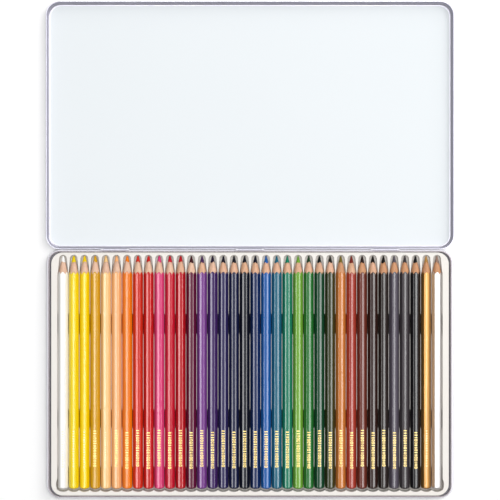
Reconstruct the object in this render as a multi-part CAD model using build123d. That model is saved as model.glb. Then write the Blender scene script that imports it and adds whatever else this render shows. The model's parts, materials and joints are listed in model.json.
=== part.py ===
from build123d import *
import math
import os

# Flat hinged tin with a moulded insert and one row of hexagonal coloured pencils.
# Millimetres. +X is right, +Y points to the hinge and the open lid, +Z is up.
# The origin is the centre of the tin's underside, on the table.
# The lid is modelled open flat, half a turn from closed.

# ---- pencils -------------------------------------------------------------------
PENCIL_COUNT = 36
PENCIL_LENGTH = 175.0
PENCIL_FLATS = 6.8          # across two opposite flats
EDGE_ROUND = 0.9            # rounding of the six long edges
END_DOME = 1.1              # rise of the dipped end, over its flats
END_CAP = 1.5               # wood and paint over the core's blunt end
CORE_DIAMETER = 3.3         # coloured core
CORE_FIT = 0.02             # radial glue gap round the core
POINT_DIAMETER = 0.9        # blunt tip
POINT_ROUND = 0.3
CONE_LENGTH = 12.5          # from the tip to the paint, on a flat
PENCIL_GAP = 0.44           # between neighbouring pencils

# ---- insert --------------------------------------------------------------------
INSERT_SHEET = 0.45         # moulded plastic
CRADLE_RISE = 2.35          # cradle floor above the channel floor
SEAT_GAP = 0.1              # under each pencil
CRADLE_GAP = 0.2            # between a pencil's lower flats and the ridges
RIDGE_TOP = 0.5             # width of a ridge's crest
FLANGE_OVER_AXIS = 1.7      # flange above the pencils' centre line
SIDE_GAP = 0.45             # outer pencils to the well's side walls
SIDE_MARGIN = 4.6           # flange beside the row
BACK_MARGIN = 1.9           # flange behind the points
FRONT_MARGIN = 2.75         # flange in front of the scallops
ARCH_GAP = 0.75             # from a point to its arch
ARCH_RADIUS = 2.85          # round top of each arch
ARCH_LENGTH = 13.2          # from an arch's top to the finger tips
FINGER_TIP = 0.5            # width of a finger where it ends
END_GAP = 1.95              # from a blunt end to its scallop
SCALLOP_DEPTH = 1.4
CHANNELS = ((43.55, 15.0), (115.35, 13.8))  # start from the points, and width
END_CHANNEL = 16.65         # length of the last channel, up to the blunt ends
RELIEF_DEPTH = 1.0          # rounded notch beside each outer pencil
RELIEF_RADIUS = 9.0
RELIEF_FROM_END = 3.55      # from a blunt end to the notch's middle
INSERT_CORNER_MORE = 1.3    # its corners are rounder than the curl round them

# ---- tinplate ------------------------------------------------------------------
SHEET = 0.3
CORNER_RADIUS = 10.5        # base, in plan
BOTTOM_BEND = 1.2
SHOULDER_BEND = 0.5
SHOULDER_FRONT = 1.55       # ledge outside the neck
SHOULDER_SIDE = 2.15
SHOULDER_BACK = 1.0
BEAD_DIAMETER = 0.85        # curled edge of the neck
BEAD_PROUD = 0.1            # the curl stands out from the neck by this
INSERT_GAP_SIDE = 1.1       # insert to the curl
INSERT_GAP_FRONT = 0.25
INSERT_GAP_BACK = 0.15
NECK_OVER_FLANGE = 0.9

# ---- lid -----------------------------------------------------------------------
HEADROOM = 1.7              # over the pencils, lid closed
LID_OVERHANG = 0.25         # lid past the base at the sides
LID_INSET_FRONT = 0.25      # lid inside the base, lid closed
LID_INSET_BACK = 0.2
SKIRT_GAP = 0.2             # skirt edge over the shoulder, lid closed
LID_DRAFT = 3.0             # degrees
LID_BEND = 2.5
HEM_THICKNESS = 0.6
HEM_HEIGHT = 1.2
HEM_ROUND = 0.28            # rounding of the folded edge
CATCH_LENGTH = 11.0
CATCH_RADIUS = 0.85
CATCH_OFFSET = 90.0         # from the middle
CATCH_BELOW_CURL = 0.1
DIMPLE_TAPER = 2.5          # run of a dent's end, as a share of its depth
STOP_LENGTH = 5.0
STOP_RADIUS = 0.6
STOP_FROM_HINGE = 29.4

# ---- hinge ---------------------------------------------------------------------
PIN_DIAMETER = 1.0
PIN_FIT = 0.02              # pin held in the base's eyes
PIN_PLAY = 0.06             # lid's tongues on the pin
EYE_WALL = 0.3
EYE_LENGTH = 2.0
TONGUE_WIDTH = 17.1
TONGUE_SPACING = 101.5
END_PLAY = 0.2
TURN_GAP = 0.2              # round whatever turns
HINGE_BEHIND = 0.15         # axis behind the base
HINGE_OVER_SHOULDER = 0.4

# ---- worked out: pencils and row -----------------------------------------------
COS30 = math.cos(math.radians(30))
TAN30 = math.tan(math.radians(30))
PENCIL_FACET = PENCIL_FLATS * TAN30
PENCIL_WIDTH = PENCIL_FLATS / COS30 - 2 * EDGE_ROUND * (1 / COS30 - 1)
PITCH = PENCIL_WIDTH + PENCIL_GAP
ROW_HALF = PITCH * (PENCIL_COUNT - 1) / 2
PENCIL_X = [PITCH * index - ROW_HALF for index in range(PENCIL_COUNT)]
WELL_HALF = ROW_HALF + PENCIL_WIDTH / 2 + SIDE_GAP

# ---- worked out: levels --------------------------------------------------------
CHANNEL_FLOOR = SHEET + INSERT_SHEET
CRADLE_FLOOR = CHANNEL_FLOOR + CRADLE_RISE
PENCIL_BOTTOM = CRADLE_FLOOR + SEAT_GAP
PENCIL_AXIS = PENCIL_BOTTOM + PENCIL_FLATS / 2
PENCIL_TOP = PENCIL_BOTTOM + PENCIL_FLATS
FLANGE_TOP = PENCIL_AXIS + FLANGE_OVER_AXIS
NECK_TOP = FLANGE_TOP + NECK_OVER_FLANGE
CLOSED_HEIGHT = PENCIL_TOP + HEADROOM + SHEET
HINGE_Z = CLOSED_HEIGHT / 2
SHOULDER_TOP = HINGE_Z - HINGE_OVER_SHOULDER
LID_DEPTH = CLOSED_HEIGHT - SHOULDER_TOP - SKIRT_GAP
BEAD_RADIUS = BEAD_DIAMETER / 2

# ---- worked out: plan, front to back -------------------------------------------
INSERT_HALF_WIDTH = WELL_HALF + SIDE_MARGIN
INSERT_DEPTH = BACK_MARGIN + ARCH_GAP + PENCIL_LENGTH + END_GAP + FRONT_MARGIN
CURL_INSIDE_WIDTH = 2 * (INSERT_HALF_WIDTH + INSERT_GAP_SIDE)
CURL_INSIDE_DEPTH = INSERT_DEPTH + INSERT_GAP_FRONT + INSERT_GAP_BACK
NECK_GROWTH = BEAD_DIAMETER - BEAD_PROUD
NECK_WIDTH = CURL_INSIDE_WIDTH + 2 * NECK_GROWTH
NECK_DEPTH = CURL_INSIDE_DEPTH + 2 * NECK_GROWTH
BASE_WIDTH = NECK_WIDTH + 2 * SHOULDER_SIDE
BASE_DEPTH = NECK_DEPTH + SHOULDER_FRONT + SHOULDER_BACK
NECK_Y = (SHOULDER_FRONT - SHOULDER_BACK) / 2
NECK_CORNER = CORNER_RADIUS - SHOULDER_SIDE
INSERT_CORNER = NECK_CORNER - BEAD_DIAMETER + INSERT_CORNER_MORE
INSERT_Y = NECK_Y + (INSERT_GAP_FRONT - INSERT_GAP_BACK) / 2
HINGE_Y = BASE_DEPTH / 2 + HINGE_BEHIND
POINT_Y = INSERT_Y + INSERT_DEPTH / 2 - BACK_MARGIN - ARCH_GAP
BLUNT_Y = POINT_Y - PENCIL_LENGTH
ARCH_TOP_Y = POINT_Y + ARCH_GAP
FINGER_Y = ARCH_TOP_Y - ARCH_LENGTH
SCALLOP_Y = BLUNT_Y - END_GAP
CUSP_Y = SCALLOP_Y + SCALLOP_DEPTH

# ---- worked out: lid and hinge -------------------------------------------------
LID_WIDTH = BASE_WIDTH + 2 * LID_OVERHANG
LID_LENGTH = BASE_DEPTH - LID_INSET_FRONT - LID_INSET_BACK
LID_BACK_Y = HINGE_Y + HINGE_BEHIND + LID_INSET_BACK
LID_Y = LID_BACK_Y + LID_LENGTH / 2
LID_FRONT_Y = LID_BACK_Y + LID_LENGTH
LID_CORNER = CORNER_RADIUS
LID_SLOPE = math.tan(math.radians(LID_DRAFT))
PIN_RADIUS = PIN_DIAMETER / 2
TONGUE_BORE = PIN_RADIUS + PIN_PLAY
TONGUE_RADIUS = TONGUE_BORE + SHEET
EYE_BORE = PIN_RADIUS + PIN_FIT
EYE_RADIUS = EYE_BORE + EYE_WALL
EYE_X = TONGUE_WIDTH / 2 + END_PLAY + EYE_LENGTH / 2
PIN_LENGTH = TONGUE_WIDTH + 2 * (END_PLAY + EYE_LENGTH)
TONGUE_X = (-TONGUE_SPACING, 0.0, TONGUE_SPACING)

PENCIL_NAMES = (
    "white", "lemon_yellow", "cadmium_yellow", "ochre", "apricot", "peach",
    "orange", "vermilion", "red", "pink", "carmine", "crimson",
    "burgundy", "violet", "dark_violet", "indigo", "navy", "blue_black",
    "dark_blue", "mid_blue", "petrol_blue", "turquoise", "yellow_green", "mid_green",
    "dark_green", "olive", "light_brown", "brick_red", "red_brown", "umber",
    "sepia", "grey", "warm_grey", "black", "gold", "silver",
)


# ---- helpers -------------------------------------------------------------------
def slab(width, depth, radius, middle_y, low, high):
    """Rounded rectangle in plan, between two levels."""
    plan = Pos(0, middle_y, low) * RectangleRounded(width, depth, radius)
    return extrude(plan, high - low)


def rod_x(radius, length, middle_x, y, z):
    """Round rod along X."""
    return Pos(middle_x, y, z) * Rot(0, 90, 0) * Cylinder(radius, length)


def edges_at(solid, level):
    """Edges that lie flat at one level."""
    return solid.edges().filter_by_position(Axis.Z, level, level)


def dimple(length, radius):
    """Long dent along X: round in section, with tapered ends."""
    run = length / 2 - DIMPLE_TAPER * radius
    profile = Polyline((-length / 2, 0), (-run, radius), (run, radius), (length / 2, 0),
                       (-length / 2, 0))
    return revolve(make_face(profile), Axis.X)


# ---- pencils -------------------------------------------------------------------
def cone_envelope():
    """Everything inside the sharpened cone and its straight continuation."""
    slope = (PENCIL_FLATS / 2 - POINT_DIAMETER / 2) / CONE_LENGTH
    reach = PENCIL_FLATS
    run = (reach - POINT_DIAMETER / 2) / slope
    profile = Polyline(
        (0, 0), (POINT_DIAMETER / 2, 0), (reach, run), (reach, PENCIL_LENGTH),
        (0, PENCIL_LENGTH), (0, 0),
    )
    turned = revolve(Plane.XZ * make_face(profile), Axis.Z)
    tip = turned.edges().sort_by(Axis.Z)[0]
    return fillet(tip, POINT_ROUND)


def end_envelope():
    """Everything inside the domed blunt end."""
    half = PENCIL_FLATS / 2
    ball = (half ** 2 + END_DOME ** 2) / (2 * END_DOME)
    middle = PENCIL_LENGTH - ball
    barrel = Pos(0, 0, middle / 2) * Cylinder(PENCIL_WIDTH, middle)
    return barrel, Pos(0, 0, middle) * Sphere(ball)


def core_rod(radius):
    """Rod along the pencil, short of its blunt end."""
    length = PENCIL_LENGTH - END_CAP
    return Pos(0, 0, length / 2) * Cylinder(radius, length)


def pencil():
    """Wooden casing and coloured core, tip at the origin, running towards -Y."""
    hexagon = RegularPolygon(PENCIL_FLATS / 2, 6, major_radius=False)
    hexagon = fillet(hexagon.vertices(), EDGE_ROUND)
    stick = extrude(hexagon, PENCIL_LENGTH)
    barrel, ball = end_envelope()
    stick = (stick & barrel) + (stick & ball)
    envelope = cone_envelope()
    casing = (stick & envelope) - core_rod(CORE_DIAMETER / 2)
    core = core_rod(CORE_DIAMETER / 2 - CORE_FIT) & envelope
    turn = Rot(90, 0, 0)
    return [turn * casing.solid(), turn * core.solid()]


# ---- insert --------------------------------------------------------------------
def arch_plan(middle_x, grow):
    """Bullet-shaped recess round one sharpened point."""
    radius = ARCH_RADIUS + grow
    mouth = (PITCH - FINGER_TIP) / 2 + grow
    rise = ARCH_LENGTH - ARCH_RADIUS
    lean = math.acos(radius / math.hypot(mouth, rise)) - math.atan2(rise, mouth)
    touch_x = radius * math.cos(lean)
    touch_y = FINGER_Y + rise + radius * math.sin(lean)
    top = (middle_x, ARCH_TOP_Y + grow)
    left = (middle_x - touch_x, touch_y)
    right = (middle_x + touch_x, touch_y)
    left_mouth = (middle_x - mouth, FINGER_Y)
    right_mouth = (middle_x + mouth, FINGER_Y)
    edges = [
        Line(left_mouth, left), ThreePointArc(left, top, right),
        Line(right, right_mouth), Line(right_mouth, left_mouth),
    ]
    return make_face(edges)


def scallop_plan(middle_x, grow):
    """Shallow bow round one blunt end."""
    left = (middle_x - PITCH / 2, CUSP_Y - grow)
    right = (middle_x + PITCH / 2, CUSP_Y - grow)
    bow = ThreePointArc(left, (middle_x, SCALLOP_Y - grow), right)
    return make_face([bow, Line(right, left)])


def plan_rectangle(half_width, front, back):
    """Rectangle in plan, centred on X."""
    return Pos(0, (front + back) / 2) * Rectangle(2 * half_width, back - front)


def point_plan(grow):
    """Plan of the well behind the finger tips."""
    arches = [arch_plan(x, grow) for x in PENCIL_X]
    return arches[0] + arches[1:]


def barrel_plan(grow):
    """Plan of the well in front of the finger tips, with its scalloped end."""
    row = plan_rectangle(WELL_HALF + grow, CUSP_Y - grow, FINGER_Y)
    relief_x = WELL_HALF + RELIEF_DEPTH - RELIEF_RADIUS
    notches = [
        Pos(side * relief_x, BLUNT_Y + RELIEF_FROM_END) * Circle(RELIEF_RADIUS + grow)
        for side in (-1, 1)
    ]
    window = plan_rectangle(BASE_WIDTH, CUSP_Y - grow, FINGER_Y)
    notches = [notch & window for notch in notches]
    return row + notches + [scallop_plan(x, grow) for x in PENCIL_X]


def cradle_line():
    """Upper outline of the ridged cradles, from one side wall to the other."""
    reach = CRADLE_GAP / COS30
    flank = PITCH / 2 - PENCIL_FACET / 2 - reach
    crest = PENCIL_BOTTOM + (flank - RIDGE_TOP / 2) / TAN30
    foot = flank + SEAT_GAP * TAN30
    wall = PENCIL_WIDTH / 2 + SIDE_GAP
    wall_level = PENCIL_BOTTOM + (wall - PENCIL_FACET / 2 - reach) / TAN30
    outer_foot = ROW_HALF + PENCIL_FACET / 2 + reach - SEAT_GAP * TAN30
    line = [(-WELL_HALF, wall_level), (-outer_foot, CRADLE_FLOOR)]
    for left in PENCIL_X[:-1]:
        middle = left + PITCH / 2
        line += [(middle - foot, CRADLE_FLOOR), (middle - RIDGE_TOP / 2, crest)]
        line += [(middle + RIDGE_TOP / 2, crest), (middle + foot, CRADLE_FLOOR)]
    return line + [(outer_foot, CRADLE_FLOOR), (WELL_HALF, wall_level)]


def cradle(front, back, close_front, close_back):
    """One ridged band of the insert, with the walls that drop to the channels."""
    top = cradle_line()
    under = [(x, z - INSERT_SHEET) for x, z in reversed(top)]
    floor = [(WELL_HALF, SHEET), (-WELL_HALF, SHEET)]
    sheet = make_face(Polyline(*top, *under, top[0]))
    wall = make_face(Polyline(*top, *floor, top[0]))
    pieces = [extrude(Plane.XZ.offset(-back) * sheet, back - front)]
    if close_back:
        pieces.append(extrude(Plane.XZ.offset(-back) * wall, INSERT_SHEET))
    if close_front:
        pieces.append(extrude(Plane.XZ.offset(-front - INSERT_SHEET) * wall, INSERT_SHEET))
    return pieces


def point_step():
    """Wall that closes the first ridges above the floor under the points."""
    top = cradle_line()
    low = CRADLE_FLOOR - INSERT_SHEET
    face = make_face(Polyline(*top, (WELL_HALF, low), (-WELL_HALF, low), top[0]))
    return extrude(Plane.XZ.offset(-FINGER_Y) * face, INSERT_SHEET)


def band_edges():
    """Front and back of each cradle, from the hinge side to the blunt ends."""
    backs = [FINGER_Y] + [POINT_Y - start - width for start, width in CHANNELS]
    fronts = [POINT_Y - start for start, width in CHANNELS] + [BLUNT_Y + END_CHANNEL]
    return list(zip(fronts, backs))


def insert_tray():
    """Moulded insert: flange, well walls, cradles and finger channels."""
    low_flange = FLANGE_TOP - INSERT_SHEET
    points = point_plan(0)
    barrels = barrel_plan(0)
    outline = Pos(0, INSERT_Y) * RectangleRounded(
        2 * INSERT_HALF_WIDTH, INSERT_DEPTH, INSERT_CORNER)
    flange = extrude(Pos(0, 0, low_flange) * (outline - points - barrels), INSERT_SHEET)
    point_floor = CRADLE_FLOOR - INSERT_SHEET
    point_end = plan_rectangle(WELL_HALF + INSERT_SHEET, FINGER_Y, FINGER_Y + INSERT_SHEET)
    point_ring = point_plan(INSERT_SHEET) + point_end - points - barrels
    point_wall = extrude(Pos(0, 0, point_floor) * point_ring, low_flange - point_floor)
    barrel_ring = barrel_plan(INSERT_SHEET) - barrels
    barrel_wall = extrude(Pos(0, 0, SHEET) * barrel_ring, low_flange - SHEET)
    pieces = [point_wall, barrel_wall, point_step()]
    pieces.append(extrude(Pos(0, 0, point_floor) * points, INSERT_SHEET))
    bands = band_edges()
    for front, back in bands:
        pieces += cradle(front, back, True, back < FINGER_Y)
    channel_fronts = [back for front, back in bands[1:]]
    for (channel_back, _), channel_front in zip(bands, channel_fronts):
        floor = plan_rectangle(WELL_HALF, channel_front, channel_back)
        pieces.append(extrude(Pos(0, 0, SHEET) * floor, INSERT_SHEET))
    end_floor = barrels & plan_rectangle(BASE_WIDTH, SCALLOP_Y, bands[-1][0])
    pieces.append(extrude(Pos(0, 0, SHEET) * end_floor, INSERT_SHEET))
    return flange + pieces


# ---- tin base ------------------------------------------------------------------
def neck_curl():
    """Curled edge along the top of the neck."""
    inward = BEAD_RADIUS - BEAD_PROUD
    path = Pos(0, NECK_Y, NECK_TOP - BEAD_RADIUS) * RectangleRounded(
        NECK_WIDTH - 2 * inward, NECK_DEPTH - 2 * inward, NECK_CORNER - inward)
    track = path.wire()
    ring = Plane(origin=track @ 0, z_dir=track % 0) * Circle(BEAD_RADIUS)
    return sweep(ring, path=track)


def base_pan():
    """Drawn base with shoulder, neck, curled edge and hinge eyes."""
    body = slab(BASE_WIDTH, BASE_DEPTH, CORNER_RADIUS, 0, 0, SHOULDER_TOP)
    body = fillet(edges_at(body, 0), BOTTOM_BEND)
    body = fillet(edges_at(body, SHOULDER_TOP), SHOULDER_BEND)
    hollow = slab(BASE_WIDTH - 2 * SHEET, BASE_DEPTH - 2 * SHEET,
                  CORNER_RADIUS - SHEET, 0, SHEET, SHOULDER_TOP - SHEET)
    hollow = fillet(edges_at(hollow, SHEET), BOTTOM_BEND - SHEET)
    neck = slab(NECK_WIDTH, NECK_DEPTH, NECK_CORNER, NECK_Y,
                SHOULDER_TOP - SHEET, NECK_TOP - BEAD_RADIUS)
    throat = slab(NECK_WIDTH - 2 * SHEET, NECK_DEPTH - 2 * SHEET, NECK_CORNER - SHEET,
                  NECK_Y, SHOULDER_TOP - 2 * SHEET, NECK_TOP)
    pan = (body + neck) - hollow - throat + neck_curl()
    for middle in TONGUE_X:
        window = rod_x(TONGUE_RADIUS + TURN_GAP, TONGUE_WIDTH + 2 * END_PLAY,
                       middle, HINGE_Y, HINGE_Z)
        pan -= window
        for side in (-1, 1):
            pan += rod_x(EYE_RADIUS, EYE_LENGTH, middle + side * EYE_X, HINGE_Y, HINGE_Z)
        pan -= rod_x(EYE_BORE, PIN_LENGTH, middle, HINGE_Y, HINGE_Z)
    return pan


def hinge_pins():
    """One short wire pin for each tongue."""
    return [rod_x(PIN_RADIUS, PIN_LENGTH, x, HINGE_Y, HINGE_Z).solid() for x in TONGUE_X]


# ---- lid -----------------------------------------------------------------------
def lid_block(inset, low):
    """Drafted block of the lid, set in by a wall and cut off at the rim."""
    narrow = inset + (LID_DEPTH - low) * LID_SLOPE
    foot = Pos(0, LID_Y, low) * RectangleRounded(
        LID_WIDTH - 2 * narrow, LID_LENGTH - 2 * narrow, LID_CORNER - narrow)
    rim = Pos(0, LID_Y, LID_DEPTH) * RectangleRounded(
        LID_WIDTH - 2 * inset, LID_LENGTH - 2 * inset, LID_CORNER - inset)
    return loft([foot, rim])


def lid_hem():
    """Edge folded back inside the skirt."""
    low = LID_DEPTH - HEM_HEIGHT
    ring = slab(LID_WIDTH, LID_LENGTH, LID_CORNER, LID_Y, low, LID_DEPTH)
    ring -= slab(LID_WIDTH - 2 * HEM_THICKNESS, LID_LENGTH - 2 * HEM_THICKNESS,
                 LID_CORNER - HEM_THICKNESS, LID_Y, low, LID_DEPTH)
    ring = ring & lid_block(0, 0)
    return fillet(edges_at(ring, LID_DEPTH), HEM_ROUND)


def dent(middle_x, y, z, length, radius, turn):
    """Bulge on the inside and the hollow pressed behind it."""
    place = Pos(middle_x, y, z) * Rot(0, 0, turn)
    hollow_length = length - 2 * DIMPLE_TAPER * SHEET
    return place * dimple(length, radius), place * dimple(hollow_length, radius - SHEET)


def lid():
    """Drawn lid, open flat: panel on the table and rim up."""
    outside = lid_block(0, 0)
    outside = fillet(edges_at(outside, 0), LID_BEND)
    inside = lid_block(SHEET, SHEET)
    inside = fillet(edges_at(inside, SHEET), LID_BEND - SHEET)
    shell = outside - inside + lid_hem()
    catch_z = CLOSED_HEIGHT - (NECK_TOP - BEAD_DIAMETER - CATCH_BELOW_CURL - CATCH_RADIUS)
    wall_shift = (LID_DEPTH - catch_z) * LID_SLOPE + SHEET / 2
    for side in (-1, 1):
        bulge, hollow = dent(side * CATCH_OFFSET, LID_FRONT_Y - wall_shift, catch_z,
                             CATCH_LENGTH, CATCH_RADIUS, 0)
        shell = shell + (bulge & outside) - hollow
        bulge, hollow = dent(side * (LID_WIDTH / 2 - wall_shift),
                             HINGE_Y + STOP_FROM_HINGE, catch_z,
                             STOP_LENGTH, STOP_RADIUS, 90)
        shell = shell + (bulge & outside) - hollow
    for middle in TONGUE_X:
        tongue = rod_x(TONGUE_RADIUS, TONGUE_WIDTH, middle, HINGE_Y, HINGE_Z)
        shell = shell + tongue
        shell -= rod_x(TONGUE_BORE, PIN_LENGTH, middle, HINGE_Y, HINGE_Z)
        for side in (-1, 1):
            shell -= rod_x(EYE_RADIUS + TURN_GAP, EYE_LENGTH + 2 * END_PLAY,
                           middle + side * EYE_X, HINGE_Y, HINGE_Z)
    return shell


# ---- write the files -----------------------------------------------------------
def save(name, solids):
    """Write one node."""
    export_step(Compound(children=list(solids)), f"parts/{name}.step")


def main():
    """Build every node and write it."""
    os.makedirs("parts", exist_ok=True)
    save("tin_base", base_pan().solids())
    save("tin_lid", lid().solids())
    save("hinge_pins", hinge_pins())
    save("insert_tray", insert_tray().solids())
    stick = pencil()
    for index, (x, name) in enumerate(zip(PENCIL_X, PENCIL_NAMES), start=1):
        place = Pos(x, POINT_Y, PENCIL_AXIS)
        save(f"pencil_{index:02d}_{name}", [place * solid for solid in stick])


if __name__ == "__main__":
    main()
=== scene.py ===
"""Coloured pencil tin: finishes, finer pencils, floor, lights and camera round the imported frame."""

from __future__ import annotations

import json
import logging
import math
from dataclasses import dataclass, field
from enum import Enum
from typing import Callable, Sequence, Union

import bpy
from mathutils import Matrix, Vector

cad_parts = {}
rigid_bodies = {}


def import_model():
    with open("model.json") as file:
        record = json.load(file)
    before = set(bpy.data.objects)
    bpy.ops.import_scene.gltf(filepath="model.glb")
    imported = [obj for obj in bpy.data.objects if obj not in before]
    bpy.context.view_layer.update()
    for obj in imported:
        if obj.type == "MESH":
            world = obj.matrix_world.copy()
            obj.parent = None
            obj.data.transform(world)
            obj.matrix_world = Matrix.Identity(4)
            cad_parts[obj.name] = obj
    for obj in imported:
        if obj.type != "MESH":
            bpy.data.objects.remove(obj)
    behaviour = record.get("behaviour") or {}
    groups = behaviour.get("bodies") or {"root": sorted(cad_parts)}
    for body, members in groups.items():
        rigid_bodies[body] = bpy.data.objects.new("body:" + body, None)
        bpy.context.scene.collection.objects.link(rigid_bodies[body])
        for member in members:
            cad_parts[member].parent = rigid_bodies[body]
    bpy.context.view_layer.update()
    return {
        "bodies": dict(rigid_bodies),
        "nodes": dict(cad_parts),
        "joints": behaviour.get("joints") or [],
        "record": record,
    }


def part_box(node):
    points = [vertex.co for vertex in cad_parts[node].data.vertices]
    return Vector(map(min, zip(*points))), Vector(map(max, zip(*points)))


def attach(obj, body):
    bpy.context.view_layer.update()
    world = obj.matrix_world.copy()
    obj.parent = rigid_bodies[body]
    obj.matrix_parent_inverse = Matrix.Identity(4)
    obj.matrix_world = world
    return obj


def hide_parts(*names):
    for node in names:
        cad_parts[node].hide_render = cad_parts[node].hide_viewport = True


LOG = logging.getLogger("pencil_tin")
MM = 0.001

Colour = tuple[float, float, float, float]
Corner = Sequence[float]


def srgb(red: int, green: int, blue: int) -> Colour:
    """Turns a screen colour into the linear colour that a shader takes.

    Args:
        red: Red from 0 to 255.
        green: Green from 0 to 255.
        blue: Blue from 0 to 255.

    Returns:
        The linear colour, opaque.
    """

    def linear(level: int) -> float:
        """Linear value of one channel."""
        share = level / 255
        return share / 12.92 if share <= 0.04045 else ((share + 0.055) / 1.055) ** 2.4

    return (linear(red), linear(green), linear(blue), 1.0)


# ---- node trees ----------------------------------------------------------------


class Value:
    """A number in a node tree; arithmetic on it adds Math nodes."""

    def __init__(self, graph: "Graph", socket: bpy.types.NodeSocket) -> None:
        """Keeps the tree and the socket that carries the number."""
        self.graph = graph
        self.socket = socket

    def __add__(self, other: "Number") -> "Value":
        """Sum."""
        return self.graph.math("ADD", self, other)

    def __radd__(self, other: "Number") -> "Value":
        """Sum, number first."""
        return self.graph.math("ADD", other, self)

    def __sub__(self, other: "Number") -> "Value":
        """Difference."""
        return self.graph.math("SUBTRACT", self, other)

    def __rsub__(self, other: "Number") -> "Value":
        """Difference, number first."""
        return self.graph.math("SUBTRACT", other, self)

    def __mul__(self, other: "Number") -> "Value":
        """Product."""
        return self.graph.math("MULTIPLY", self, other)

    def __rmul__(self, other: "Number") -> "Value":
        """Product, number first."""
        return self.graph.math("MULTIPLY", other, self)

    def __truediv__(self, other: "Number") -> "Value":
        """Quotient."""
        return self.graph.math("DIVIDE", self, other)

    def clamp(self) -> "Value":
        """The number kept between 0 and 1."""
        return self.graph.math("ADD", self, 0.0, clamp=True)


Number = Union[float, Value]


class Graph:
    """A node tree being filled in, for a shader or for geometry."""

    def __init__(self, tree: bpy.types.NodeTree) -> None:
        """Keeps the tree."""
        self.tree = tree

    def add(self, kind: str, **settings: object) -> bpy.types.Node:
        """Adds a node.

        Args:
            kind: Blender's name for the node.
            **settings: Properties of the node to set.

        Returns:
            The new node.
        """
        node = self.tree.nodes.new(kind)
        for name, setting in settings.items():
            setattr(node, name, setting)
        return node

    def join(self, source: object, target: bpy.types.NodeSocket) -> None:
        """Links a socket to another, or sets a plain number or colour on it."""
        if isinstance(source, Value):
            source = source.socket
        if isinstance(source, bpy.types.NodeSocket):
            self.tree.links.new(source, target)
        else:
            target.default_value = source

    def fill(self, node: bpy.types.Node, **sources: object) -> bpy.types.Node:
        """Joins sources to a node's inputs, named with _ for a space."""
        for name, source in sources.items():
            self.join(source, node.inputs[name.replace("_", " ")])
        return node

    def math(self, operation: str, *terms: Number, clamp: bool = False) -> Value:
        """Adds a Math node.

        Args:
            operation: Blender's name for the operation.
            *terms: Its inputs, in order.
            clamp: Whether the result is kept between 0 and 1.

        Returns:
            The result.
        """
        node = self.add("ShaderNodeMath", operation=operation, use_clamp=clamp)
        for socket, term in zip(node.inputs, terms):
            self.join(term, socket)
        return Value(self, node.outputs[0])

    def ramp(self, place: Value, steps: Sequence[Number]) -> Value:
        """Sum of steps, each taken over one unit of place.

        Args:
            place: How far along, from 0.
            steps: What each unit adds.

        Returns:
            The sum at that place.
        """
        parts = [(place - float(index)).clamp() * step for index, step in enumerate(steps)]
        total = parts[0]
        for part in parts[1:]:
            total = total + part
        return total

    def mix(self, share: object, first: object, second: object) -> bpy.types.NodeSocket:
        """Blends two colours.

        Args:
            share: Share of the second colour.
            first: First colour.
            second: Second colour.

        Returns:
            The blended colour.
        """
        node = self.add("ShaderNodeMix", data_type="RGBA")
        self.join(share, node.inputs[0])
        self.join(first, node.inputs[6])
        self.join(second, node.inputs[7])
        return node.outputs[2]

    def between(self, value: object, low: float, high: float, start: float, end: float) -> Value:
        """Maps a number from one range to another, clamped."""
        node = self.add("ShaderNodeMapRange")
        for socket, source in zip(node.inputs, (value, low, high, start, end)):
            self.join(source, socket)
        return Value(self, node.outputs[0])

    def noise(self, place: bpy.types.NodeSocket, scale: Number, detail: float = 3.0,
              roughness: float = 0.5) -> Value:
        """Noise at a place, from 0 to 1."""
        node = self.add("ShaderNodeTexNoise")
        self.fill(node, Vector=place, Scale=scale, Detail=detail, Roughness=roughness)
        return Value(self, node.outputs[0])

    def stretched(self, scale: tuple[float, float, float]) -> bpy.types.NodeSocket:
        """Object coordinates stretched along the axes."""
        place = self.add("ShaderNodeTexCoord").outputs["Object"]
        node = self.add("ShaderNodeMapping")
        self.fill(node, Vector=place, Scale=scale)
        return node.outputs[0]


class Effect:
    """A shader node group that several materials share."""

    built: dict[str, bpy.types.NodeTree] = {}

    def __init__(self, name: str, inputs: dict[str, float], outputs: Sequence[str],
                 wire: Callable[["Graph", dict[str, Value]], dict[str, object]]) -> None:
        """Describes the group.

        Args:
            name: Name of the group.
            inputs: Its inputs and what they are unless set.
            outputs: Its outputs, all numbers.
            wire: Fills the tree in and gives what each output shows.
        """
        self.name = name
        self.inputs = inputs
        self.outputs = outputs
        self.wire = wire

    def tree(self) -> bpy.types.NodeTree:
        """The group's tree, built once."""
        if self.name in Effect.built:
            return Effect.built[self.name]
        tree = bpy.data.node_groups.new(self.name, "ShaderNodeTree")
        for name, default in self.inputs.items():
            socket = tree.interface.new_socket(
                name, in_out="INPUT", socket_type="NodeSocketFloat")
            socket.default_value = default
        for name in self.outputs:
            tree.interface.new_socket(name, in_out="OUTPUT", socket_type="NodeSocketFloat")
        graph = Graph(tree)
        source = graph.add("NodeGroupInput")
        target = graph.add("NodeGroupOutput")
        given = {name: Value(graph, source.outputs[name]) for name in self.inputs}
        for name, result in self.wire(graph, given).items():
            graph.join(result, target.inputs[name])
        Effect.built[self.name] = tree
        return tree

    def use(self, graph: Graph, **settings: float) -> dict[str, Value]:
        """Places the group in a material.

        Args:
            graph: The material's tree.
            **settings: Values of its inputs, named with _ for a space.

        Returns:
            Its outputs by name.
        """
        node = graph.add("ShaderNodeGroup", node_tree=self.tree())
        graph.fill(node, **settings)
        return {name: Value(graph, node.outputs[name]) for name in self.outputs}


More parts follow.
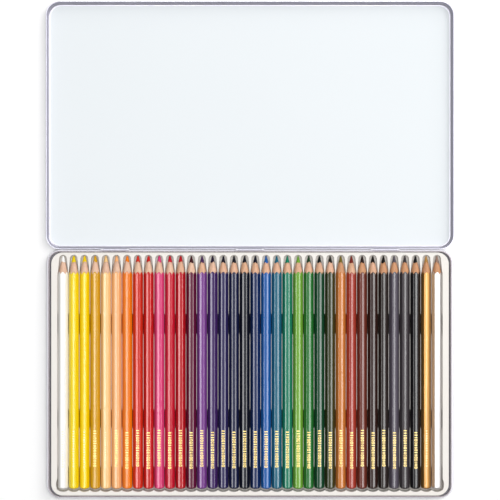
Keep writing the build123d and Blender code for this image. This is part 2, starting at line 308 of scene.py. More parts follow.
def wire_streaks(graph: Graph, given: dict[str, Value]) -> dict[str, object]:
    """Fine streaks along the pencils, in the lacquer or in the wood."""
    place = graph.stretched((1.0, 0.012, 1.0))
    broad = graph.noise(place, given["Scale"], detail=2.0)
    fine = graph.noise(place, given["Scale"] * 3.7, detail=3.0)
    wide = graph.noise(place, given["Scale"] * 0.25, detail=1.0)
    return {"Streaks": broad * 0.6 + fine * 0.4, "Sway": wide}


def wire_edges(graph: Graph, given: dict[str, Value]) -> dict[str, object]:
    """Mask of the outer edges, where a finish wears and catches the light."""
    rounded = graph.add("ShaderNodeBevel", samples=4)
    graph.join(given["Width"], rounded.inputs["Radius"])
    plain = graph.add("ShaderNodeNewGeometry").outputs["Normal"]
    dot = graph.add("ShaderNodeVectorMath", operation="DOT_PRODUCT")
    graph.join(rounded.outputs[0], dot.inputs[0])
    graph.join(plain, dot.inputs[1])
    sharp = graph.between(dot.outputs["Value"], 0.995, 0.86, 0.0, 1.0)
    place = graph.stretched((1.0, 1.0, 1.0))
    patch = graph.between(graph.noise(place, 160.0, detail=4.0), 0.4, 0.62, 0.0, 1.0)
    return {"Edge": sharp, "Worn": sharp * patch}


def wire_specks(graph: Graph, given: dict[str, Value]) -> dict[str, object]:
    """Dust specks and a soft unevenness for roughness and colour."""
    place = graph.stretched((1.0, 1.0, 1.0))
    cloud = graph.noise(place, given["Scale"], detail=4.0)
    grain = graph.noise(place, given["Scale"] * 40.0, detail=2.0)
    return {"Cloud": cloud, "Grain": grain}


STREAKS = Effect("lengthwise_streaks", {"Scale": 900.0}, ("Streaks", "Sway"), wire_streaks)
EDGES = Effect("edge_wear", {"Width": 0.0004}, ("Edge", "Worn"), wire_edges)
SPECKS = Effect("specks", {"Scale": 30.0}, ("Cloud", "Grain"), wire_specks)


# ---- finishes ------------------------------------------------------------------


class Sheen(Enum):
    """How a pencil's lacquer shines."""

    ENAMEL = "enamel"
    METALLIC = "metallic"


class Stamp(Enum):
    """Foil that a pencil is stamped with."""

    GOLD = "gold"
    FAINT = "faint"


@dataclass(frozen=True)
class Finish:
    """What every finish has: a name and a colour."""

    name: str
    colour: Colour

    def material(self) -> bpy.types.Material:
        """The material, made once."""
        known = bpy.data.materials.get(self.name)
        if known is not None:
            return known
        material = bpy.data.materials.new(self.name)
        material.use_nodes = True
        material.node_tree.nodes.clear()
        material.diffuse_color = self.colour
        graph = Graph(material.node_tree)
        shader = graph.add("ShaderNodeBsdfPrincipled")
        output = graph.add("ShaderNodeOutputMaterial")
        graph.join(shader.outputs[0], output.inputs[0])
        self.shade(graph, shader)
        return material

    def shade(self, graph: Graph, shader: bpy.types.Node) -> None:
        """Fills in the material's tree."""
        graph.fill(shader, Base_Color=self.colour)

    def bump(self, graph: Graph, shader: bpy.types.Node, height: Number,
             depth: float, normal: object = None) -> None:
        """Joins a height, in metres once times depth, to the shader's normal."""
        node = graph.add("ShaderNodeBump")
        graph.fill(node, Height=height, Distance=depth, Strength=1.0)
        if normal is not None:
            graph.join(normal, node.inputs["Normal"])
        graph.join(node.outputs[0], shader.inputs["Normal"])


@dataclass(frozen=True)
class TinLacquer(Finish):
    """Satin lacquer on tinplate; the curled edge turns the bare inside outwards, its metal darkened
    with painted shade of the bead and its gap.
    """

    metal: Colour = srgb(206, 205, 212)
    # Bare tinplate of the curled edge, darkened to paint the shade on the bead and in the gap beside
    # it.
    curl_metal_and_shade: Colour = srgb(158, 149, 153)
    curl_from: float = 8.3 * MM
    roughness: float = 0.34

    def shade(self, graph: Graph, shader: bpy.types.Node) -> None:
        """Lacquer with a soft unevenness, bare metal above the neck, darkened with painted shade."""
        specks = SPECKS.use(graph, Scale=14.0)
        edges = EDGES.use(graph, Width=0.0003)
        split = graph.add("ShaderNodeSeparateXYZ")
        graph.join(graph.add("ShaderNodeTexCoord").outputs["Object"], split.inputs[0])
        # Mask of the curl above the neck, where the darkened bare metal paints shade.
        bare = graph.between(split.outputs["Z"], self.curl_from - 0.05 * MM,
                             self.curl_from + 0.05 * MM, 0.0, 1.0)
        tint = graph.between(specks["Cloud"], 0.35, 0.65, 0.97, 1.0)
        shaded = graph.mix(1.0 - tint, self.colour, self.metal)
        worn = graph.mix(edges["Worn"] * 0.6, shaded, self.metal)
        rough = graph.between(specks["Cloud"], 0.3, 0.7, self.roughness - 0.05,
                              self.roughness + 0.05)
        gloss = (1.0 - bare) * 0.25
        # Above the neck the colour is bare metal and painted shade of the bead and its gap.
        graph.fill(shader, Base_Color=graph.mix(bare, worn, self.curl_metal_and_shade), Roughness=rough,
                   Metallic=graph.math("MAXIMUM", bare * 0.9, edges["Worn"] * 0.5),
                   Coat_Weight=gloss, Coat_Roughness=0.12)
        self.bump(graph, shader, specks["Grain"], 0.000002)


@dataclass(frozen=True)
class LidLacquer(TinLacquer):
    """White lacquer on the panel, plain tinplate inside the walls, lacquer outside."""

    panel: Colour = srgb(227, 232, 235)
    wall: Colour = srgb(194, 192, 204)
    panel_top: float = 0.3 * MM
    middle: tuple[float, float, float] = (0.0, 0.1871, 0.003)

    def shade(self, graph: Graph, shader: bpy.types.Node) -> None:
        """Three finishes, parted where the sheet bends and at the folded edge."""
        specks = SPECKS.use(graph, Scale=9.0)
        edges = EDGES.use(graph, Width=0.0003)
        place = graph.add("ShaderNodeTexCoord")
        split = graph.add("ShaderNodeSeparateXYZ")
        graph.join(place.outputs["Object"], split.inputs[0])
        tilt = graph.add("ShaderNodeSeparateXYZ")
        graph.join(place.outputs["Normal"], tilt.inputs[0])
        to_middle = graph.add("ShaderNodeVectorMath", operation="SUBTRACT")
        to_middle.inputs[0].default_value = self.middle
        graph.join(place.outputs["Object"], to_middle.inputs[1])
        dot = graph.add("ShaderNodeVectorMath", operation="DOT_PRODUCT")
        graph.join(to_middle.outputs[0], dot.inputs[0])
        graph.join(place.outputs["Normal"], dot.inputs[1])
        inward = graph.between(dot.outputs["Value"], -0.012, -0.008, 0.0, 1.0)
        inside = inward * graph.between(tilt.outputs["Z"], -0.5, -0.3, 0.0, 1.0)
        low = graph.between(split.outputs["Z"], self.panel_top + 0.003 * MM,
                            self.panel_top + 0.01 * MM, 1.0, 0.0)
        flat = graph.between(tilt.outputs["Z"], 0.75, 0.9, 0.0, 1.0) * low
        bare = inside * (1.0 - flat)
        colour = graph.mix(flat, graph.mix(bare, self.colour, self.wall), self.panel)
        worn = graph.mix(edges["Worn"] * 0.6, colour, self.metal)
        rough = graph.between(specks["Cloud"], 0.3, 0.7, 0.5, 0.58) - bare * 0.2
        metallic = graph.math("MAXIMUM", bare * 0.7, edges["Worn"] * 0.5)
        graph.fill(shader, Base_Color=worn, Roughness=rough, Metallic=metallic,
                   Specular_IOR_Level=0.25)
        self.bump(graph, shader, specks["Cloud"], 0.00002)


@dataclass(frozen=True)
class DrawnWire(Finish):
    """Bare steel wire, with fine lines from the die."""

    def shade(self, graph: Graph, shader: bpy.types.Node) -> None:
        """Metal with lines along X."""
        place = graph.stretched((0.02, 1.0, 1.0))
        lines = graph.noise(place, 6000.0, detail=2.0)
        graph.fill(shader, Base_Color=self.colour, Metallic=1.0,
                   Roughness=graph.between(lines, 0.3, 0.7, 0.25, 0.45))
        self.bump(graph, shader, lines, 0.00001)


@dataclass(frozen=True)
class MouldedSheet(Finish):
    """Thin moulded plastic with a faint bloom and softened edges."""

    shade_colour: Colour = srgb(228, 220, 212)

    def shade(self, graph: Graph, shader: bpy.types.Node) -> None:
        """Cream plastic, a little darker in patches, with rounded edges."""
        specks = SPECKS.use(graph, Scale=22.0)
        patch = graph.between(specks["Cloud"], 0.35, 0.75, 0.0, 0.35)
        colour = graph.mix(patch, self.colour, self.shade_colour)
        rounded = graph.add("ShaderNodeBevel", samples=4)
        rounded.inputs["Radius"].default_value = 0.00035
        graph.fill(shader, Base_Color=colour, Roughness=graph.between(
            specks["Grain"], 0.3, 0.7, 0.34, 0.46), Sheen_Weight=0.1, Sheen_Roughness=0.4)
        shader.inputs["IOR"].default_value = 1.49
        self.bump(graph, shader, specks["Cloud"], 0.00012, rounded.outputs[0])


@dataclass(frozen=True)
class PencilLacquer(Finish):
    """Coats of glossy lacquer on a barrel, streaked along its length."""

    sheen: Sheen = Sheen.ENAMEL

    def shade(self, graph: Graph, shader: bpy.types.Node) -> None:
        """Pigment under a clear coat; metallic lacquers are partly metal."""
        drag = STREAKS.use(graph, Scale=700.0)
        streaks = drag["Streaks"]
        specks = SPECKS.use(graph, Scale=60.0)
        dark = tuple(0.66 * level for level in self.colour[:3]) + (1.0,)
        share = graph.between(streaks, 0.42, 0.58, 0.25, 0.0)
        colour = graph.mix(share, self.colour, dark)
        metallic = 0.75 if self.sheen is Sheen.METALLIC else 0.0
        rough = graph.between(streaks, 0.42, 0.58, 0.42, 0.28)
        gloss = graph.between(streaks, 0.4, 0.56, 0.8, 1.0)
        graph.fill(shader, Base_Color=colour, Metallic=metallic, Roughness=rough,
                   Specular_IOR_Level=0.1, Coat_Weight=gloss, Coat_Roughness=0.09, Coat_IOR=1.5)
        height = streaks * 0.5 + drag["Sway"] * 1.2 + specks["Grain"] * 0.02
        self.bump(graph, shader, height, 0.000006)


@dataclass(frozen=True)
class Wood(Finish):
    """Sharpened wood: grain along the pencil and fine marks of the blade."""

    late: Colour = srgb(186, 134, 98)
    blush: Colour = srgb(222, 174, 150)

    def shade(self, graph: Graph, shader: bpy.types.Node) -> None:
        """Grain lines, a blush in patches and blade marks."""
        streaks = STREAKS.use(graph, Scale=1500.0)["Streaks"]
        place = graph.stretched((1.0, 1.0, 1.0))
        tone = graph.noise(place, 90.0, detail=2.0)
        marks = graph.noise(graph.stretched((0.3, 1.0, 0.3)), 2600.0, detail=1.0)
        share = graph.between(streaks, 0.38, 0.66, 0.0, 0.75)
        grained = graph.mix(share, self.colour, self.late)
        tinted = graph.mix(graph.between(tone, 0.35, 0.65, 0.0, 0.5), grained, self.blush)
        graph.fill(shader, Base_Color=tinted, Roughness=graph.between(marks, 0.3, 0.7, 0.5, 0.72))
        self.bump(graph, shader, streaks * 0.7 + marks * 0.3, 0.00005)


@dataclass(frozen=True)
class CorePigment(Finish):
    """Waxy coloured core, scraped smooth by the sharpener."""

    def shade(self, graph: Graph, shader: bpy.types.Node) -> None:
        """Pigment with scraped bands and crumbs."""
        specks = SPECKS.use(graph, Scale=350.0)
        bands = graph.noise(graph.stretched((0.25, 1.0, 0.25)), 3200.0, detail=2.0)
        dark = tuple(0.6 * level for level in self.colour[:3]) + (1.0,)
        colour = graph.mix(graph.between(specks["Cloud"], 0.35, 0.7, 0.0, 0.4), self.colour, dark)
        graph.fill(shader, Base_Color=colour, Specular_IOR_Level=0.12,
                   Roughness=graph.between(bands, 0.3, 0.7, 0.4, 0.6))
        self.bump(graph, shader, bands * 0.6 + specks["Cloud"] * 0.4, 0.00006)


@dataclass(frozen=True)
class Foil(Finish):
    """Metal foil stamped on the lacquer, thin in places."""

    worn: Colour = srgb(150, 112, 52)

    def shade(self, graph: Graph, shader: bpy.types.Node) -> None:
        """Foil with a mottled gloss."""
        specks = SPECKS.use(graph, Scale=420.0)
        share = graph.between(specks["Cloud"], 0.5, 0.72, 0.0, 0.7)
        graph.fill(shader, Base_Color=graph.mix(share, self.colour, self.worn), Metallic=0.55,
                   Roughness=graph.between(specks["Grain"], 0.3, 0.7, 0.28, 0.42))
        self.bump(graph, shader, specks["Cloud"], 0.00002)


@dataclass(frozen=True)
class FloorPaint(Finish):
    """Plain pale floor."""

    def shade(self, graph: Graph, shader: bpy.types.Node) -> None:
        """Even and matt."""
        graph.fill(shader, Base_Color=self.colour, Roughness=0.9)


# ---- geometry nodes ------------------------------------------------------------


class ShapeTree:
    """A Geometry Nodes tree with named inputs, run once for each piece."""

    def __init__(self, name: str, inputs: dict[str, float]) -> None:
        """Makes the empty tree and its sockets."""
        self.name = name
        self.tree = bpy.data.node_groups.new(name, "GeometryNodeTree")
        self.sockets: dict[str, str] = {}
        interface = self.tree.interface
        interface.new_socket("Geometry", in_out="INPUT", socket_type="NodeSocketGeometry")
        for label, default in inputs.items():
            socket = interface.new_socket(
                label, in_out="INPUT", socket_type="NodeSocketFloat")
            socket.default_value = default
            self.sockets[label] = socket.identifier
        finish = interface.new_socket(
            "Finish", in_out="INPUT", socket_type="NodeSocketMaterial")
        self.sockets["Finish"] = finish.identifier
        interface.new_socket("Geometry", in_out="OUTPUT", socket_type="NodeSocketGeometry")
        self.graph = Graph(self.tree)
        self.source = self.graph.add("NodeGroupInput")

    def given(self, label: str) -> Value:
        """One of the named inputs."""
        return Value(self.graph, self.source.outputs[label])

    def close(self, shape: bpy.types.NodeSocket) -> None:
        """Ends the tree: real instances, material, output."""
        real = self.graph.add("GeometryNodeRealizeInstances")
        self.graph.join(shape, real.inputs[0])
        dress = self.graph.add("GeometryNodeSetMaterial")
        self.graph.join(real.outputs[0], dress.inputs["Geometry"])
        self.graph.join(self.source.outputs["Finish"], dress.inputs["Material"])
        output = self.graph.add("NodeGroupOutput")
        self.graph.join(dress.outputs[0], output.inputs[0])

    def build(self, name: str, finish: bpy.types.Material, **inputs: float) -> bpy.types.Object:
        """Runs the tree and keeps the result as a plain mesh.

        Args:
            name: Name of the piece.
            finish: Its material.
            **inputs: Values of the named inputs, with _ for a space.

        Returns:
            The piece, at the origin.
        """
        piece = bpy.data.objects.new(name, bpy.data.meshes.new(name))
        bpy.context.scene.collection.objects.link(piece)
        modifier = piece.modifiers.new("shape", "NODES")
        modifier.node_group = self.tree
        modifier[self.sockets["Finish"]] = finish
        for label, value in inputs.items():
            modifier[self.sockets[label.replace("_", " ")]] = float(value)
        graph = bpy.context.evaluated_depsgraph_get()
        solid = bpy.data.meshes.new_from_object(
            piece.evaluated_get(graph), preserve_all_data_layers=True, depsgraph=graph)
        piece.modifiers.remove(modifier)
        empty = piece.data
        piece.data = solid
        bpy.data.meshes.remove(empty)
        solid.name = name
        solid.materials.clear()
        solid.materials.append(finish)
        return piece


class BarrelTree(ShapeTree):
    """Surfaces of revolution and of a rounded hexagon, as rows of one grid.

    A row is a ring round the pencil; the rings run from the axis, over the
    visible surface and back to the axis, so that the piece is closed.
    """

    SEXTANT = 10
    ROUND = 6 * SEXTANT
    INPUTS = {
        "Centre X": 0.0, "Tip Y": 0.0, "Centre Z": 0.0, "Length": 0.175, "Flats": 0.0068,
        "Edge round": 0.0003, "Crown": 0.00009, "Roll": 0.0, "Tip radius": 0.00045,
        "Cone length": 0.0125,
        "Core radius": 0.00165, "Paint": 0.0001, "Dome": 0.0011, "Skew": 0.0, "Phase": 0.0,
        "Peak": 0.0, "Chip": 0.0,
    }

    def __init__(self, name: str, rows: int) -> None:
        """Makes the grid and the fields that every part of a pencil needs.

        Args:
            name: Name of the tree.
            rows: Number of rings.
        """
        super().__init__(name, self.INPUTS)
        graph = self.graph
        self.grid = graph.add("GeometryNodeMeshGrid")
        for socket, value in zip(self.grid.inputs, (1.0, 1.0, self.ROUND + 1, rows)):
            socket.default_value = value
        split = graph.add("ShaderNodeSeparateXYZ")
        graph.join(graph.add("GeometryNodeInputPosition").outputs[0], split.inputs[0])
        turn = (Value(graph, split.outputs["X"]) + 0.5) * 6.0
        self.row = (Value(graph, split.outputs["Y"]) + 0.5) * float(rows - 1)
        sextant = graph.math("FLOOR", turn + 0.0001)
        step = (turn - sextant) * float(self.SEXTANT)
        half = self.given("Flats") * 0.5
        crown = self.given("Crown")
        flat = (half - self.given("Edge round")) * math.tan(math.radians(30))
        lift = graph.math("ARCTANGENT", crown * 2.0 / flat)
        reach = (half - crown) * 0.5 - flat * math.cos(math.radians(30))
        rounding = reach / graph.math("SINE", math.radians(30) - lift)
        across = graph.ramp(step, (0.16, 0.44, 0.4, 0.4, 0.44, 0.16)) - 1.0
        turned_by = (math.radians(60) - lift * 2.0) * 0.25
        bend = lift + graph.ramp(step - 6.0, (1.0,) * 4) * turned_by
        out = half - crown * across * across
        out = out - rounding * (graph.math("COSINE", lift) - graph.math("COSINE", bend))
        side = flat * across
        side = side + rounding * (graph.math("SINE", bend) - graph.math("SINE", lift))
        angle = sextant * math.radians(60) + self.given("Roll")
        cosine = graph.math("COSINE", angle)
        sine = graph.math("SINE", angle)
        self.hex_z = out * cosine - side * sine
        self.hex_x = out * sine + side * cosine
        self.reach = graph.math("SQRT", self.hex_z * self.hex_z + self.hex_x * self.hex_x)
        self.slope = (half - self.given("Tip radius")) / self.given("Cone length")
        heading = graph.math("ARCTAN2", self.hex_x, self.hex_z)
        self.lean = graph.math("COSINE", heading - self.given("Phase")) * self.given("Skew")
        turned = (heading - self.given("Peak")) * 1.5
        wave = graph.math("ABSOLUTE", graph.math("SINE", turned)) - 0.75
        self.chips = wave * self.given("Chip") + self.lean

    def cone_place(self, radius: Number) -> Value:
        """How far from the tip the cone has a radius."""
        return (radius - self.given("Tip radius")) / self.slope

    def finish_shape(self, radius: Value, along: Value) -> None:
        """Places the rings and closes the tree.

        Args:
            radius: Distance from the axis, towards the hexagon's outline.
            along: Distance from the tip.
        """
        graph = self.graph
        scale = radius / self.reach
        place = graph.add("ShaderNodeCombineXYZ")
        graph.join(self.given("Centre X") + self.hex_x * scale, place.inputs["X"])
        graph.join(self.given("Tip Y") - along, place.inputs["Y"])
        graph.join(self.given("Centre Z") + self.hex_z * scale, place.inputs["Z"])
        move = graph.add("GeometryNodeSetPosition")
        graph.join(self.grid.outputs[0], move.inputs["Geometry"])
        graph.join(place.outputs[0], move.inputs["Position"])
        merge = graph.add("GeometryNodeMergeByDistance")
        graph.join(move.outputs[0], merge.inputs["Geometry"])
        merge.inputs["Distance"].default_value = 0.000002
        smooth = graph.add("GeometryNodeSetShadeSmooth")
        graph.join(merge.outputs[0], smooth.inputs["Geometry"])
        self.close(smooth.outputs[0])


class LacquerTree(BarrelTree):
    """The lacquered barrel, from its scalloped edge on the cone to the domed end."""

    def __init__(self) -> None:
        """Rings: axis, cut edge, surface, barrel, dome, axis."""
        super().__init__("pencil_lacquer", 14)
        graph = self.graph
        length = self.given("Length")
        dome = self.given("Dome")
        half = self.given("Flats") * 0.5
        cut = self.reach - self.given("Paint")
        edge = self.cone_place(self.reach) + self.lean
        inner_edge = self.cone_place(cut) + self.lean
        ball = (half * half + dome * dome) / (dome * 2.0)

        def depth(radius: Value) -> Value:
            """How far the dome has fallen at a radius."""
            return ball - graph.math("SQRT", ball * ball - radius * radius)

        full = length - depth(self.reach)
        soft = full - 0.0004
        start = self.cone_place(half)
        row = self.row
        radius = graph.ramp(row, (
            cut, self.reach - cut, 0.0, 0.0, 0.0, 0.0, 0.0,
            self.reach * -0.012, self.reach * -0.038, self.reach * -0.15,
            self.reach * -0.25, self.reach * -0.25, self.reach * -0.3))
        drop_1 = length - depth(self.reach * 0.988) - 0.00014
        drop_2 = length - depth(self.reach * 0.95)
        drop_3 = length - depth(self.reach * 0.8)
        drop_4 = length - depth(self.reach * 0.55)
        drop_5 = length - depth(self.reach * 0.3)
        along = start + graph.ramp(row, (
            inner_edge - start, edge - inner_edge, 0.0001, 0.001,
            (length * 0.5) - edge, (length * 0.5) - 0.0021 - (length - soft),
            0.001, drop_1 - soft, drop_2 - drop_1, drop_3 - drop_2,
            drop_4 - drop_3, drop_5 - drop_4, length - drop_5))
        self.finish_shape(radius, along)


class WoodTree(BarrelTree):
    """The sharpened wood between the core and the lacquer."""

    def __init__(self) -> None:
        """Rings: axis, core's edge, cone, lacquer's edge, axis."""
        super().__init__("pencil_wood", 9)
        graph = self.graph
        core = self.given("Core radius")
        cut = self.reach - self.given("Paint")
        start = self.cone_place(core) + self.chips
        end = self.cone_place(cut) + self.lean
        stretch = (end - start) * 0.2
        widen = (cut - core) * 0.2
        lip = self.given("Paint") * 0.4
        radius = graph.ramp(self.row, (core - lip, lip, widen, widen, widen, widen, widen, -1.0 * cut))
        along = start + 0.0006 + graph.ramp(
            self.row, (-0.0006, 0.0, stretch, stretch, stretch, stretch, stretch, 0.002))
        self.finish_shape(radius, along)


class CoreTree(BarrelTree):
    """The bare coloured core, with its blunt tip."""

    def __init__(self) -> None:
        """Rings: tip, rounding, cone, wood's edge, axis."""
        super().__init__("pencil_core", 11)
        graph = self.graph
        tip = self.given("Tip radius")
        core = self.given("Core radius") - self.given("Paint") * 0.2
        end = self.cone_place(self.given("Core radius")) + self.chips
        first = 0.0004
        radius = graph.ramp(self.row, (
            tip * 0.45, tip * 0.3, tip * 0.18, tip * 0.2,
            (core - tip * 1.13) * 0.25, (core - tip * 1.13) * 0.25,
            (core - tip * 1.13) * 0.25, (core - tip * 1.13) * 0.25, 0.0, core * -1.0))
        run = (end - first) * 0.25
        along = graph.ramp(self.row, (
            0.00002, 0.00008, 0.0001, 0.0002, run, run, run, run, 0.0003, 0.0004))
        self.finish_shape(radius, along)


class StampTree(ShapeTree):
    """A row of small rounded foil marks on a pencil's top facet."""

    INPUTS = {
        "Centre X": 0.0, "Start Y": 0.0, "Level": 0.0, "Run": 0.028, "Width": 0.0024,
        "Thickness": 0.00002, "Seed": 1.0,
    }

    def __init__(self, count: int) -> None:
        """Links of a chain, bars and smaller links, picked by a fixed seed.

        Args:
            count: Number of marks.
        """
        super().__init__("foil_stamp", self.INPUTS)
        graph = self.graph
        width = self.given("Width")
        pitch = self.given("Run") / float(count)
        shapes = graph.add("GeometryNodeGeometryToInstance")
        link = self.plate(width, pitch * 0.76, (width * 0.56, pitch * 0.34))
        bar = self.plate(width, pitch * 0.42, None)
        short = self.plate(width * 0.86, pitch * 0.66, (width * 0.46, pitch * 0.26))
        for shape in (link, bar, short):
            graph.tree.links.new(shape, shapes.inputs[0])
        line = graph.add("GeometryNodeMeshLine")
        line.inputs["Count"].default_value = count
        start = graph.add("ShaderNodeCombineXYZ")
        graph.fill(start, X=self.given("Centre X"), Y=self.given("Start Y") - pitch * 0.5,
                   Z=self.given("Level"))
        offset = graph.add("ShaderNodeCombineXYZ")
        graph.join(pitch * -1.0, offset.inputs["Y"])
        graph.join(start.outputs[0], line.inputs["Start Location"])
        graph.join(offset.outputs[0], line.inputs["Offset"])
        pick = graph.add("FunctionNodeRandomValue", data_type="INT")
        integer = [socket for socket in pick.inputs if socket.type == "INT"]
        integer[0].default_value = 0
        integer[1].default_value = 2
        graph.join(self.given("Seed"), pick.inputs["Seed"])
        chosen = [socket for socket in pick.outputs if socket.type == "INT"][0]
        place = graph.add("GeometryNodeInstanceOnPoints")
        graph.join(line.outputs[0], place.inputs["Points"])
        graph.join(shapes.outputs[0], place.inputs["Instance"])
        place.inputs["Pick Instance"].default_value = True
        graph.join(chosen, place.inputs["Instance Index"])
        self.close(place.outputs[0])

    def plate(self, width: Number, depth: Number,
              hole: tuple[Number, Number] | None) -> bpy.types.NodeSocket:
        """A thin rounded plate, with a rounded hole where one is given.

        Args:
            width: Its size along X.
            depth: Its size along Y.
            hole: The hole's sizes.

        Returns:
            The plate's geometry.
        """
        graph = self.graph
        curves = graph.add("GeometryNodeJoinGeometry")
        for size in [(width, depth)] + ([hole] if hole else []):
            outline = graph.add("GeometryNodeCurvePrimitiveQuadrilateral")
            graph.fill(outline, Width=size[0], Height=size[1])
            soft = graph.add("GeometryNodeFilletCurve")
            graph.join(outline.outputs[0], soft.inputs["Curve"])
            graph.join(size[1] * 0.25, soft.inputs["Radius"])
            graph.tree.links.new(soft.outputs[0], curves.inputs[0])
        filled = graph.add("GeometryNodeFillCurve")
        graph.join(curves.outputs[0], filled.inputs["Curve"])
        thick = graph.add("GeometryNodeExtrudeMesh")
        graph.join(filled.outputs[0], thick.inputs["Mesh"])
        graph.join(self.given("Thickness"), thick.inputs["Offset Scale"])
        thick.inputs["Individual"].default_value = False
        return thick.outputs[0]


# ---- the pencils ---------------------------------------------------------------


@dataclass(frozen=True)
class Pigment:
    """Colours of one pencil."""

    name: str
    barrel: Colour
    core: Colour | None = None
    sheen: Sheen = Sheen.ENAMEL
    stamp: Stamp = Stamp.GOLD

    @property
    def lacquer(self) -> PencilLacquer:
        """Finish of the barrel."""
        return PencilLacquer(f"lacquer_{self.name}", self.barrel, self.sheen)

    @property
    def pigment(self) -> CorePigment:
        """Finish of the core."""
        return CorePigment(f"core_{self.name}", self.core or self.barrel)

    @property
    def core_slot(self) -> str:
        """Slot of the core, which only the silver pencil has apart."""
        return "silver_core" if self.name == "silver" else f"pigment_{self.name}"


PIGMENTS = (
    Pigment("white", srgb(250, 249, 246), stamp=Stamp.FAINT),
    Pigment("lemon_yellow", srgb(244, 214, 10), stamp=Stamp.FAINT),
    Pigment("cadmium_yellow", srgb(250, 212, 0), stamp=Stamp.FAINT),
    Pigment("ochre", srgb(214, 160, 20)),
    Pigment("apricot", srgb(250, 206, 140), stamp=Stamp.FAINT),
    Pigment("peach", srgb(245, 180, 120)),
    Pigment("orange", srgb(240, 125, 15)),
    Pigment("vermilion", srgb(210, 44, 24)),
    Pigment("red", srgb(200, 26, 22)),
    Pigment("pink", srgb(218, 66, 122)),
    Pigment("carmine", srgb(197, 20, 46)),
    Pigment("crimson", srgb(186, 17, 28)),
    Pigment("burgundy", srgb(98, 14, 52), srgb(64, 10, 22)),
    Pigment("violet", srgb(120, 60, 140), srgb(70, 30, 84)),
    Pigment("dark_violet", srgb(62, 32, 96), srgb(30, 14, 46)),
    Pigment("indigo", srgb(42, 36, 86), srgb(16, 12, 34)),
    Pigment("navy", srgb(22, 28, 66), srgb(10, 12, 28)),
    Pigment("blue_black", srgb(14, 18, 32)),
    Pigment("dark_blue", srgb(14, 38, 88), srgb(8, 14, 36)),
    Pigment("mid_blue", srgb(20, 90, 165)),
    Pigment("petrol_blue", srgb(28, 100, 125)),
    Pigment("turquoise", srgb(20, 125, 95)),
    Pigment("yellow_green", srgb(110, 165, 50)),
    Pigment("mid_green", srgb(35, 115, 45), srgb(22, 62, 32)),
    Pigment("dark_green", srgb(16, 72, 43), srgb(6, 18, 20)),
    Pigment("olive", srgb(52, 58, 24), srgb(30, 22, 14)),
    Pigment("light_brown", srgb(200, 120, 50), srgb(116, 100, 30)),
    Pigment("brick_red", srgb(165, 55, 40), srgb(120, 36, 26)),
    Pigment("red_brown", srgb(108, 46, 33), srgb(36, 14, 14)),
    Pigment("umber", srgb(50, 28, 22), srgb(14, 9, 9)),
    Pigment("sepia", srgb(42, 34, 30), srgb(14, 11, 10)),
    Pigment("grey", srgb(84, 78, 90)),
    Pigment("warm_grey", srgb(60, 54, 58)),
    Pigment("black", srgb(18, 17, 20)),
    Pigment("gold", srgb(182, 134, 68), sheen=Sheen.METALLIC, stamp=Stamp.FAINT),
    Pigment("silver", srgb(228, 226, 225), srgb(150, 122, 108), Sheen.METALLIC, Stamp.FAINT),
)


@dataclass
class PencilRow:
    """The row of pencils, each rebuilt finer where its solids lie."""

    edge_round: float = 0.3 * MM
    crown: float = 0.09 * MM
    roll: float = math.radians(1.1)
    tip_radius: float = 0.42 * MM
    worn_tip_radius: float = 0.65 * MM
    worn_tips: int = 12
    cone_length: float = 12.5 * MM
    core_radius: float = 1.65 * MM
    paint: float = 0.12 * MM
    dome: float = 1.1 * MM
    skew: float = 0.3 * MM
    chip: float = 1.1 * MM
    stamp_from_end: float = 44.35 * MM
    stamp_run: float = 28.0 * MM
    stamp_width: float = 2.3 * MM
    stamp_marks: int = 15
    woods: tuple[Wood, ...] = (
        Wood("sharpened_wood_pale", srgb(230, 196, 170), srgb(198, 152, 120)),
        Wood("sharpened_wood", srgb(222, 178, 144)),
        Wood("sharpened_wood_warm", srgb(208, 152, 108), srgb(172, 116, 76), srgb(200, 146, 112)),
    )
    foils: dict[Stamp, Foil] = field(default_factory=lambda: {
        Stamp.GOLD: Foil("gold_foil", srgb(240, 212, 130)),
        Stamp.FAINT: Foil("faint_foil", srgb(222, 206, 160), srgb(196, 178, 132)),
    })

    def build(self) -> list[bpy.types.Object]:
        """Builds every pencil.

        Returns:
            The pieces of all the pencils.
        """
        lacquer = LacquerTree()
        wood = WoodTree()
        core = CoreTree()
        stamp = StampTree(self.stamp_marks)
        pieces = []
        for index, pigment in enumerate(PIGMENTS, start=1):
            node = f"pencil_{index:02d}_{pigment.name}"
            low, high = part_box(node)
            sizes = {
                "Centre_X": (low[0] + high[0]) / 2, "Tip_Y": high[1],
                "Centre_Z": (low[2] + high[2]) / 2, "Length": high[1] - low[1],
                "Flats": high[2] - low[2], "Edge_round": self.edge_round,
                "Crown": self.crown, "Roll": self.roll * math.sin(7.9 * index),
                "Tip_radius": self.worn_tip_radius if index <= self.worn_tips else self.tip_radius,
                "Cone_length": self.cone_length,
                "Core_radius": self.core_radius, "Paint": self.paint, "Dome": self.dome,
                "Skew": self.skew * math.sin(2.4 * index), "Phase": 1.7 * index,
                "Peak": 0.45 * math.sin(4.3 * index),
                "Chip": self.chip * (0.75 + 0.25 * math.sin(5.1 * index)),
            }
            grain = self.woods[min(2, (index + index * 7 % 5 * 2) // 17)]
            barrel = lacquer.build(f"barrel_{index:02d}", pigment.lacquer.material(), **sizes)
            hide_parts(node)
            point = wood.build(f"wood_{index:02d}", grain.material(), **sizes)
            lead = core.build(f"core_{index:02d}", pigment.pigment.material(), **sizes)
            share = 0.5 if pigment.stamp is Stamp.FAINT else 1.0
            marks = stamp.build(
                f"stamp_{index:02d}", self.foils[pigment.stamp].material(),
                Centre_X=sizes["Centre_X"], Level=high[2] - 0.01 * MM,
                Start_Y=low[1] + self.stamp_from_end + 0.9 * MM * math.sin(3.3 * index),
                Run=self.stamp_run, Width=self.stamp_width * share, Seed=4.0)
            finishes = (f"pigment_{pigment.name}", "cedar", pigment.core_slot, "foil")
            for piece, finish in zip((barrel, point, lead, marks), finishes):
                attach(piece, node)
                pieces.append(piece)
            LOG.info("pencil %02d %s", index, pigment.name)
        return pieces


# ---- the tin -------------------------------------------------------------------


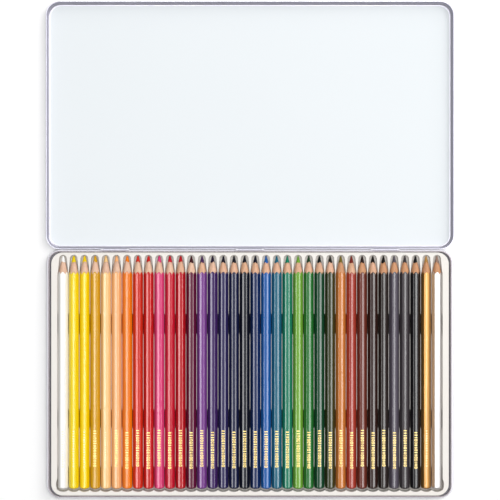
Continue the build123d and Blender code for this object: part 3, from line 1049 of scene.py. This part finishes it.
@dataclass
class Tin:
    """Base, lid, hinge pins and insert: their CAD shapes stay and get their finishes."""

    base: TinLacquer = TinLacquer("lacquered_base", srgb(224, 222, 229))
    lid: LidLacquer = LidLacquer("lacquered_lid", srgb(214, 212, 221))
    pins: DrawnWire = DrawnWire("drawn_pins", srgb(190, 190, 194))
    insert: MouldedSheet = MouldedSheet("moulded_insert", srgb(230, 226, 220))

    def dress(self, frame: dict) -> None:
        """Gives each node its material.

        Args:
            frame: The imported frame.
        """
        finishes = {"tin_base": self.base, "tin_lid": self.lid, "hinge_pins": self.pins,
                    "insert_tray": self.insert}
        for node, finish in finishes.items():
            piece = frame["nodes"][node]
            material = finish.material()
            if not piece.material_slots:
                piece.data.materials.append(material)
            for holder in piece.material_slots:
                holder.material = material
            LOG.info("%s in %s", node, finish.name)


# ---- floor, lights and camera --------------------------------------------------


@dataclass
class Panel:
    """A soft square light."""

    name: str
    place: tuple[float, float, float]
    aim: tuple[float, float, float]
    size: tuple[float, float]
    radiance: float

    def build(self) -> bpy.types.Object:
        """Hangs the light.

        Returns:
            The light.
        """
        lamp = bpy.data.lights.new(self.name, "AREA")
        lamp.shape = "RECTANGLE"
        lamp.size, lamp.size_y = self.size
        lamp.energy = self.radiance * math.pi * self.size[0] * self.size[1]
        light = bpy.data.objects.new(self.name, lamp)
        bpy.context.scene.collection.objects.link(light)
        light.location = self.place
        gaze = [goal - start for goal, start in zip(self.aim, self.place)]
        flat = math.hypot(gaze[0], gaze[1])
        light.rotation_euler = (math.atan2(flat, -gaze[2]), 0.0,
                                math.atan2(gaze[1], gaze[0]) - math.pi / 2)
        return light


@dataclass
class Studio:
    """Pale floor, soft lights and the camera straight above."""

    floor_size: float = 6.0
    floor: FloorPaint = FloorPaint("floor", srgb(252, 252, 252))
    sky: Colour = srgb(255, 255, 255)
    sky_strength: float = 0.23
    lights: tuple[Panel, ...] = (
        Panel("key_panel", (1.50, 0.85, 2.40), (0.0, 0.10, 0.0), (1.6, 1.6), 3.0),
        Panel("left_strip", (-0.36, 0.13, 2.2), (-0.36, 0.12, 0.0), (0.3, 1.8), 8.8),
        Panel("right_strip", (0.37, 0.13, 2.2), (0.37, 0.12, 0.0), (0.3, 1.8), 8.4),
        Panel("side_panel", (1.25, 1.30, 1.10), (0.0, 0.10, 0.0), (2.8, 1.2), 1.5),
    )
    camera_place: tuple[float, float, float] = (0.0, 0.0933, 1.106)
    seen_width: float = 0.37566
    seen_level: float = 0.006
    sensor: float = 36.0

    def build(self) -> None:
        """Builds the surroundings."""
        half = self.floor_size / 2
        mesh = bpy.data.meshes.new("floor")
        corners = [(x, y, -0.0002) for x, y in
                   ((-half, -half), (half, -half), (half, half), (-half, half))]
        mesh.from_pydata(corners, [], [(0, 1, 2, 3)])
        floor = bpy.data.objects.new("floor", mesh)
        bpy.context.scene.collection.objects.link(floor)
        mesh.materials.append(self.floor.material())
        for panel in self.lights:
            panel.build()
        world = bpy.data.worlds.new("studio")
        world.use_nodes = True
        background = world.node_tree.nodes["Background"]
        background.inputs["Color"].default_value = self.sky
        background.inputs["Strength"].default_value = self.sky_strength
        bpy.context.scene.world = world
        bpy.context.scene.view_settings.view_transform = "Standard"
        lens = bpy.data.cameras.new("camera")
        lens.sensor_width = self.sensor
        lens.lens = self.sensor * (self.camera_place[2] - self.seen_level) / self.seen_width
        lens.clip_start = 0.01
        camera = bpy.data.objects.new("camera", lens)
        camera.location = self.camera_place
        bpy.context.scene.collection.objects.link(camera)
        bpy.context.scene.camera = camera
        LOG.info("floor, %d lights and camera", len(self.lights))


def main() -> None:
    """Builds everything."""
    logging.basicConfig(level=logging.INFO, format="%(name)s: %(message)s")
    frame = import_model()
    Studio().build()
    Tin().dress(frame)
    PencilRow().build()


if __name__ == "__main__":
    main()
